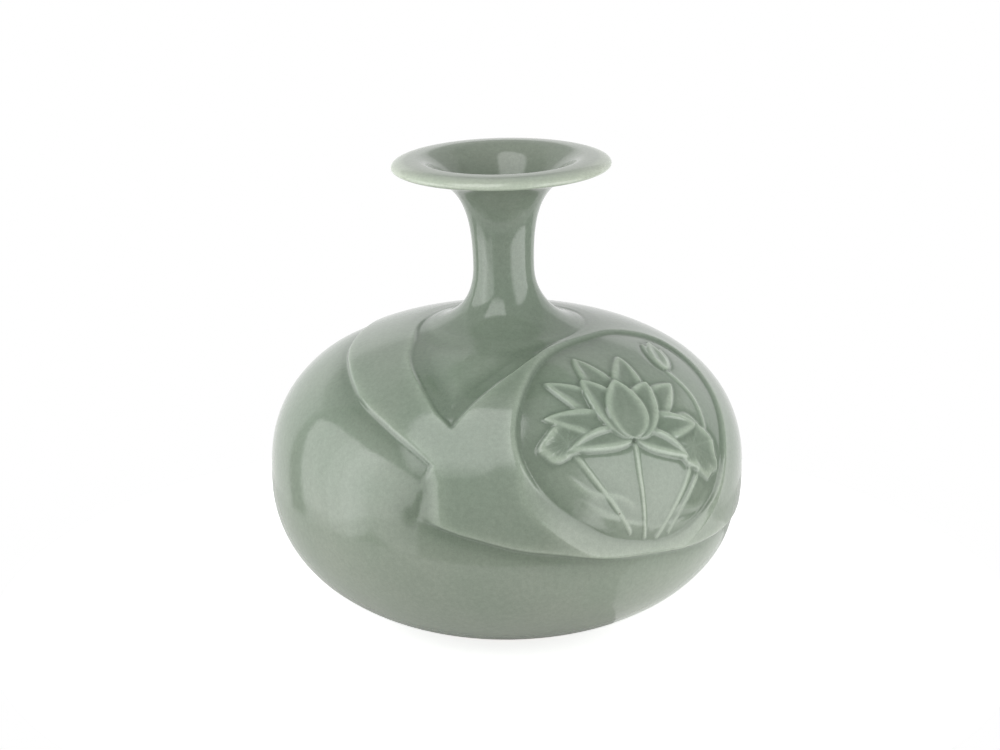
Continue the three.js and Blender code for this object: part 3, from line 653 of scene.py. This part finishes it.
upper_reach = np.linspace(SEAT_REACH, BELLY_REACH, UPPER_ROWS + 1)
below_reach = np.linspace(BELLY_REACH, BELLY_REACH + BELOW_SEAM_FINE, BELOW_SEAM_ROWS + 1)[1:]
base_reach = np.linspace(BELLY_REACH + BELOW_SEAM_FINE, FOOT_REACH, BASE_ROWS + 1)[1:]
reaches = np.concatenate([upper_reach, below_reach, base_reach])[::-1]
columns_grid, reach_grid = np.meshgrid(azimuths, reaches)
carving, ornament, band = (
    field.reshape(reach_grid.shape) for field in relief(columns_grid.reshape(-1), reach_grid.reshape(-1)))
lift = carving + ornament
body = on_body(columns_grid, reach_grid) + body_normal(columns_grid, reach_grid) * lift[..., None]
body[-1, :, 2] = SEAT_HEIGHT
# Over the carved edges: painted highlight on the crests and painted shade at the feet, along with thinner and
# pooling glaze
body_glaze_and_light = EDGE_THIN_AND_LIGHT * (carving - blurred(carving, EDGE_SPREAD))
# On the motif: painted highlight on its crests and painted shade in its hollows, along with thinner and pooling
# glaze
body_glaze_and_light += MOTIF_THIN_AND_LIGHT * (ornament - blurred(ornament, MOTIF_SPREAD))
# Painted shade in the low ground beside the carved steps, along with glaze that pools there
body_glaze_and_light += STEP_POOL_AND_SHADE * np.minimum(carving - blurred(carving, STEP_SPREAD), 0)
# Painted highlight along the slope into the panel
# Painted shade round the neck's root, along with glaze that pools there
body_glaze_and_light += BEVEL_HIGHLIGHT * band - NECK_POOL_AND_SHADE * smooth(SEAT_REACH + NECK_POOL_AND_SHADE_REACH - reach_grid, 0, NECK_POOL_AND_SHADE_REACH)
normals = grid_normals(body)
seam = len(base_reach) + len(below_reach)


FOOT_INNER = FOOT_CONTACT_RADIUS - FOOT_CONTACT_WIDTH - FOOT_EDGE
BORE_RADIUS = NECK_RADIUS - NECK_WALL
HOLE_RADIUS = BORE_RADIUS + HOLE_CLEARANCE


def lining(from_reach, to_reach):
    reach = np.linspace(from_reach, to_reach, LINING_ROWS + 1)
    radius, height = at_reach(INSIDE, reach)
    return rings(np.stack([radius, height], -1))


def lower_shell():
    solid = Solid("lower_shell")
    belly_inside = reach_of_height(INSIDE, BELLY_HEIGHT)
    outer = body[:seam + 1]
    underside = rings([(0, BASE_RECESS), (FOOT_INNER - BASE_RECESS_SLOPE, BASE_RECESS),
                        (FOOT_INNER, FOOT_HEIGHT)])
    solid.grid(underside)
    ledge = np.stack([underside[-1], outer[0]])
    solid.grid(ledge, flat_normals(ledge, False))
    solid.grid(outer, normals[:seam + 1], body_glaze_and_light[:seam + 1])
    inner = lining(belly_inside, INSIDE[0][-1])
    inner[0, :, 2] = BELLY_HEIGHT
    rim = np.stack([outer[-1], inner[0]])
    solid.grid(rim, flat_normals(rim, True))
    solid.grid(inner)
    return solid.build(GLAZE)


def upper_shell():
    solid = Solid("upper_shell")
    belly_inside = reach_of_height(INSIDE, BELLY_HEIGHT)
    hole = reach_of_radius(INSIDE, HOLE_RADIUS + HOLE_ROUNDING)
    outer = body[seam:]
    solid.grid(outer, normals[seam:], body_glaze_and_light[seam:])
    inner = lining(hole, belly_inside)
    inner[-1, :, 2] = BELLY_HEIGHT
    wall = rings([(HOLE_RADIUS, SEAT_HEIGHT), (HOLE_RADIUS, at_reach(INSIDE, hole)[1] + HOLE_ROUNDING)])
    seat = np.stack([outer[-1], wall[0]])
    solid.grid(seat, flat_normals(seat, True))
    solid.grid(np.concatenate([wall, inner[:1]]))
    solid.grid(inner)
    rim = np.stack([inner[-1], outer[0]])
    solid.grid(rim, flat_normals(rim, False))
    return solid.build(GLAZE)


# Neck and mouth

def bezier(points, rows, from_share=0.0, to_share=1.0):
    a, b, c, d = (np.asarray(point, float) for point in points)
    t = np.linspace(from_share, to_share, rows + 1)[:, None]
    return (1 - t) ** 3 * a + 3 * (1 - t) ** 2 * t * b + 3 * (1 - t) * t ** 2 * c + t ** 3 * d


WAIST_LOW = SEAT_HEIGHT + COVE_LENGTH
WAIST_HIGH = WAIST_LOW + WAIST_LENGTH
LIP_UNDER_HEIGHT = WAIST_HIGH + FLARE_LENGTH
LIP_EDGE_HEIGHT = LIP_UNDER_HEIGHT + LIP_UNDER
CREST_HEIGHT = LIP_EDGE_HEIGHT + LIP_OVER
LIP_UNDER_RADIUS, CREST_RADIUS = MOUTH_RADIUS - LIP_WIDTH, MOUTH_RADIUS - CREST_INSET
seat_slope = body_normal(np.zeros(1), np.array([SEAT_REACH]))[0]
COVE_RISE = COVE_REACH * (-seat_slope[1] / seat_slope[2] + 2 * SEAT_LIFT / SEAT_SWELL)

COVE = [(SEAT_RADIUS, SEAT_HEIGHT), (SEAT_RADIUS - COVE_REACH, SEAT_HEIGHT + COVE_RISE),
        (NECK_RADIUS, WAIST_LOW - COVE_UPRIGHT), (NECK_RADIUS, WAIST_LOW)]
FLARE = [(NECK_RADIUS, WAIST_HIGH), (NECK_RADIUS + FLARE_TAPER, WAIST_HIGH + FLARE_STRAIGHT),
         (NECK_RADIUS + FLARE_BEND, LIP_UNDER_HEIGHT - FLARE_DIP), (LIP_UNDER_RADIUS, LIP_UNDER_HEIGHT)]
UNDER_LIP = [(LIP_UNDER_RADIUS, LIP_UNDER_HEIGHT), (MOUTH_RADIUS - LIP_CURL_INSET, LIP_UNDER_HEIGHT + LIP_CURL),
             (MOUTH_RADIUS, LIP_EDGE_HEIGHT - LIP_UPRIGHT_BELOW), (MOUTH_RADIUS, LIP_EDGE_HEIGHT)]
OVER_LIP = [(MOUTH_RADIUS, LIP_EDGE_HEIGHT), (MOUTH_RADIUS, LIP_EDGE_HEIGHT + LIP_UPRIGHT_ABOVE),
            (CREST_RADIUS + CREST_BREADTH, CREST_HEIGHT), (CREST_RADIUS, CREST_HEIGHT)]
JOINT = bezier(FLARE, 1, FLARE_SPLIT)[0]
THROAT_RADIUS = JOINT[0] - THROAT_WALL
FUNNEL = [(CREST_RADIUS, CREST_HEIGHT), (CREST_RADIUS - FUNNEL_BREADTH, CREST_HEIGHT),
          (THROAT_RADIUS + FUNNEL_RUN, JOINT[1] + FUNNEL_RUN), (THROAT_RADIUS, JOINT[1])]
THROAT = [(THROAT_RADIUS, JOINT[1]), (THROAT_RADIUS - THROAT_RUN, JOINT[1] - THROAT_RUN),
          (BORE_RADIUS, JOINT[1] - THROAT_LENGTH + THROAT_UPRIGHT), (BORE_RADIUS, JOINT[1] - THROAT_LENGTH)]

neck_outside = np.concatenate([bezier(COVE, 40), bezier(FLARE, 34, 0, FLARE_SPLIT)])
mouth_outside = np.concatenate([
    bezier(FLARE, 34, FLARE_SPLIT, 1), bezier(UNDER_LIP, 18)[1:], bezier(OVER_LIP, 34)[1:], bezier(FUNNEL, 50)[1:]])
bore = [(BORE_RADIUS, SEAT_HEIGHT + LEAN_GROWTH * share) for share in (1, 0.75, 0.5, 0.25, 0)]
neck_inside = np.concatenate([bezier(THROAT, 20)[1:], bore])
tube = leaned(rings(np.concatenate([neck_outside, mouth_outside[1:], neck_inside]), even_azimuths))
tube_normals = grid_normals(tube)
seat_tilt = normals[-1][:, 2]
tube_normals[0] = around_axis(
    np.sqrt(1 - seat_tilt.mean() ** 2), even_azimuths, np.full(TUBE_COLUMNS, seat_tilt.mean()))
throat_row = len(neck_outside) + len(mouth_outside) - 2

# The lip is paler towards its edge, over the underside and over the funnel: thinner glaze together with a painted
# highlight; deeper down the funnel it is darker, as painted shade
lip_row = int(np.argmax(mouth_outside[:, 0]))
mouth_glaze_and_light = np.where(
    np.arange(len(mouth_outside)) <= lip_row,
    np.interp(mouth_outside[:, 0], *UNDER_LIP_THIN_AND_HIGHLIGHT), np.interp(mouth_outside[:, 0], *OVER_LIP_LIGHT_AND_SHADE))


def neck_tube():
    solid = Solid("neck_tube")
    top = len(neck_outside) - 1
    # Painted shade down the cove to the neck's root, along with glaze that pools there
    pooled_and_shaded = -NECK_POOL_AND_SHADE * smooth(WAIST_LOW - tube[:top + 1, :, 2], 0, COVE_LENGTH)
    solid.grid(tube[:top + 1], tube_normals[:top + 1], pooled_and_shaded)
    cap = np.stack([tube[top], tube[throat_row]])
    solid.grid(cap, flat_normals(cap, True))
    solid.grid(tube[throat_row:], tube_normals[throat_row:])
    base = np.stack([tube[-1], tube[0]])
    solid.grid(base, flat_normals(base, False))
    return solid.build(GLAZE)


def mouth_flange():
    solid = Solid("mouth_flange")
    first = len(neck_outside) - 1
    glaze_and_painted_light = np.broadcast_to(mouth_glaze_and_light[:, None], tube[first:throat_row + 1].shape[:2])
    solid.grid(tube[first:throat_row + 1], tube_normals[first:throat_row + 1], glaze_and_painted_light)
    cap = np.stack([tube[throat_row], tube[first]])
    solid.grid(cap, flat_normals(cap, False))
    return solid.build(GLAZE)


def foot():
    solid = Solid("foot")
    joint_radius = at_reach(OUTSIDE, FOOT_REACH)[0]
    turned = np.linspace(0, math.pi / 2, 6)
    outer_edge = [(FOOT_CONTACT_RADIUS + FOOT_EDGE * math.sin(t), FOOT_EDGE * (1 - math.cos(t))) for t in turned]
    inner_edge = [(FOOT_INNER + FOOT_EDGE * (1 - math.cos(t)), FOOT_EDGE * (1 - math.sin(t))) for t in turned]
    solid.grid(rings(outer_edge + [(joint_radius, FOOT_HEIGHT)], even_azimuths))
    top = rings([(joint_radius, FOOT_HEIGHT), (FOOT_INNER, FOOT_HEIGHT)], even_azimuths)
    solid.grid(top, flat_normals(top, True))
    solid.grid(rings([(FOOT_INNER, FOOT_HEIGHT)] + inner_edge, even_azimuths))
    contact = rings([inner_edge[-1], outer_edge[0]], even_azimuths)
    solid.grid(contact, flat_normals(contact, False))
    return solid.build(CLAY)


for make, cad_node, finish in (
        (lower_shell, "lower_body", "celadon_glaze"), (upper_shell, "upper_body", "celadon_glaze"),
        (neck_tube, "neck", "celadon_glaze"), (mouth_flange, "mouth", "celadon_glaze"),
        (foot, "foot_ring", "bare_clay")):
    piece = make()
    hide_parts(cad_node)
    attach(piece, "root")


# Camera, lights and floor

camera_data = bpy.data.cameras.new("camera")
camera_data.lens, camera_data.sensor_width = CAMERA_LENS, CAMERA_SENSOR
camera = bpy.data.objects.new("camera", camera_data)
camera.location = CAMERA_PLACE * MM
camera.rotation_euler = (math.pi / 2 - CAMERA_PITCH, 0, 0)
bpy.context.scene.collection.objects.link(camera)
bpy.context.scene.camera = camera


def bearing(azimuth, elevation):
    """The direction at an azimuth and an elevation in degrees."""
    a, e = math.radians(azimuth), math.radians(elevation)
    return Vector((math.sin(a) * math.cos(e), -math.cos(a) * math.cos(e), math.sin(e)))


def stage(name, places, faces, shade, glow):
    """A piece of the studio, with a matt shade and an even glow."""
    mesh = bpy.data.meshes.new(name)
    mesh.from_pydata(places, [], faces)
    material = bpy.data.materials.new(name)
    material.use_nodes = True
    shader = material.node_tree.nodes["Principled BSDF"]
    shader.inputs["Base Color"].default_value = (shade, shade, shade, 1)
    shader.inputs["Roughness"].default_value = 1.0
    shader.inputs["Specular IOR Level"].default_value = 0.0
    shader.inputs["Emission Color"].default_value = (1, 1, 1, 1)
    shader.inputs["Emission Strength"].default_value = glow
    mesh.materials.append(material)
    piece = bpy.data.objects.new(name, mesh)
    bpy.context.scene.collection.objects.link(piece)
    return piece


# Each light lies in a plane across a direction: azimuth and elevation in degrees, and distance in metres from AIM
AIM = Vector((0, 0, 0.055))
LEFT, RIGHT, TOP = (-83, 8, 0.45), (72, 8, 0.45), (-12, 62, 0.60)


def softbox(name, plane, corners, glow):
    """A light with straight edges. Its corners are metres to the right and up in its plane."""
    azimuth, elevation, distance = plane
    out = bearing(azimuth, elevation)
    level = bearing(azimuth + 90, 0)
    up = out.cross(level)
    places = [AIM + distance * out + u * level + v * up for u, v in corners]
    stage(name, places, [tuple(range(len(corners)))], 0.0, glow).visible_camera = False


# The left light fades towards its sides and its foot, so it is built of upright strips in two rows: the two bounds
# and the glow of each. Three lines give the heights where the rows end, as corners from left to right.
LEFT_STRIPS = [(-0.15, -0.05, 1.95), (-0.05, 0.03, 2.5), (0.03, 0.10, 3.1), (0.10, 0.15, 2.9), (0.15, 0.19, 2.3),
               (0.19, 0.23, 2.0), (0.23, 0.28, 1.85), (0.28, 0.34, 1.75), (0.34, 0.40, 1.75), (0.40, 0.46, 1.6)]
LEFT_FOOT_GLOW = 0.66
LEFT_FOOT = [(-0.25, -0.30), (-0.215, -0.33), (-0.13, -0.344), (0.017, -0.295), (0.11, -0.255), (0.20, -0.24),
             (0.28, -0.29), (0.46, -0.42)]
LEFT_LOW = [(-0.25, -0.24), (0.0, -0.24), (0.10, -0.20), (0.20, -0.18), (0.46, -0.18)]
LEFT_HIGH = [(-0.30, 0.15), (-0.20, 0.20), (-0.10, 0.22), (0.0, 0.21), (0.20, 0.22), (0.46, 0.18)]
LEFT_END = [(-0.20, 0.20), (-0.28, 0.15), (-0.27, 0.06), (-0.235, -0.05)]


def on_line(line, place):
    """The point of a line of corners at a place along the light."""
    return place, float(np.interp(place, [corner[0] for corner in line], [corner[1] for corner in line]))


left_start = LEFT_STRIPS[0][0]
softbox("left_end", LEFT,
        [(-0.23, -0.24), on_line(LEFT_LOW, left_start), on_line(LEFT_HIGH, left_start)] + LEFT_END, 1.75)
softbox("left_end_foot", LEFT,
        [(-0.20, -0.31), on_line(LEFT_FOOT, left_start), on_line(LEFT_LOW, left_start), (-0.23, -0.24)], 1.3)
for number, (start, end, glow) in enumerate(LEFT_STRIPS):
    for row, low, high, row_glow in (("strip", LEFT_LOW, LEFT_HIGH, glow),
                                     ("foot", LEFT_FOOT, LEFT_LOW, LEFT_FOOT_GLOW * glow)):
        corners = [on_line(low, start), on_line(low, end), on_line(high, end), on_line(high, start)]
        softbox(f"left_{row}_{number}", LEFT, corners, row_glow)

# The other two lights fade towards one side
FADING = [
    ("right_box", RIGHT, 2.6,
     [(-0.42, -0.29), (0.14, -0.29), (0.15, 0.026), (0.05, 0.13), (-0.191, 0.375), (-0.37, -0.156)]),
    ("right_edge_a", RIGHT, 2.0,
     [(-0.47, -0.29), (-0.42, -0.29), (-0.37, -0.156), (-0.191, 0.375), (-0.235, 0.39), (-0.42, -0.13)]),
    ("right_edge_b", RIGHT, 1.2,
     [(-0.53, -0.29), (-0.47, -0.29), (-0.42, -0.13), (-0.235, 0.39), (-0.28, 0.40), (-0.475, -0.10)]),
    ("top_box", TOP, 2.5,
     [(-0.36, -0.24), (0.065, -0.24), (0.06, 0.0), (0.05, 0.17), (0.03, 0.26), (-0.01, 0.32), (-0.06, 0.34),
      (-0.25, 0.31), (-0.31, 0.27), (-0.35, 0.20), (-0.37, 0.10), (-0.375, -0.02)]),
    ("top_edge_a", TOP, 2.1, [(-0.355, -0.295), (0.05, -0.295), (0.065, -0.24), (-0.36, -0.24)]),
    ("top_edge_b", TOP, 1.65, [(-0.33, -0.345), (0.01, -0.345), (0.05, -0.295), (-0.355, -0.295)]),
    ("top_edge_c", TOP, 1.2, [(-0.27, -0.395), (-0.05, -0.395), (0.01, -0.345), (-0.33, -0.345)]),
    ("top_edge_d", TOP, 0.8, [(-0.20, -0.43), (-0.11, -0.43), (-0.05, -0.395), (-0.27, -0.395)])]
for name, plane, glow, corners in FADING:
    softbox(name, plane, corners, glow)

# The room round the vase, in parts of unlike glow: azimuths, elevations and glow
ROOM_RADIUS, ROOM_STEP = 1.5, 5
ROOM = [("room_front", (-125, 125), (-30, 50), 0.32), ("room_top", (-180, 180), (50, 90), 0.40),
        ("room_back", (125, 235), (25, 50), 0.60), ("room_low", (-180, 180), (-90, -30), 0.75)]
for name, azimuth_range, elevation_range, glow in ROOM:
    places, faces = [], []
    for azimuth in range(*azimuth_range, ROOM_STEP):
        for elevation in range(*elevation_range, ROOM_STEP):
            first = len(places)
            for a, e in ((0, 0), (ROOM_STEP, 0), (ROOM_STEP, ROOM_STEP), (0, ROOM_STEP)):
                places.append(AIM + ROOM_RADIUS * bearing(azimuth + a, elevation + e))
            faces.append((first, first + 1, first + 2, first + 3))
    part = stage(name, places, faces, 0.0, glow)
    part.visible_camera = False
    part.data.materials[0].cycles.emission_sampling = "NONE"

# A round table top. Its face for the camera is near white, and the one just below it lights the vase from below.
# A brighter pool on the right lifts that side.
TABLE_RADIUS, TABLE_SIDES, TABLE_SHADE = 0.145, 96, 0.8
TABLE_GLOW, BOUNCE_GLOW, POOL_GLOW = 0.75, 0.08, 0.5
BOUNCE_DROP = 0.0005
POOL_CENTRE, POOL_RADIUS, POOL_SIDES = (0.085, -0.02, -0.0003), 0.055, 12


def disc(name, centre, radius, sides, glow):
    rim = [Vector(centre) + radius * bearing(360 * k / sides, 0) for k in range(sides)]
    return stage(name, rim, [tuple(range(sides))], TABLE_SHADE, glow)


floor = disc("floor", (0, 0, 0), TABLE_RADIUS, TABLE_SIDES, TABLE_GLOW)
floor.visible_glossy = floor.visible_diffuse = floor.visible_shadow = False
disc("floor_bounce", (0, 0, -BOUNCE_DROP), TABLE_RADIUS, TABLE_SIDES, BOUNCE_GLOW).visible_camera = False
disc("floor_pool", POOL_CENTRE, POOL_RADIUS, POOL_SIDES, POOL_GLOW).visible_camera = False

world = bpy.data.worlds.new("tent")
world.use_nodes = True
world.node_tree.nodes["Background"].inputs["Color"].default_value = (1, 1, 1, 1)
world.node_tree.nodes["Background"].inputs["Strength"].default_value = 1.0
bpy.context.scene.world = world
bpy.context.scene.view_settings.view_transform = "Standard"
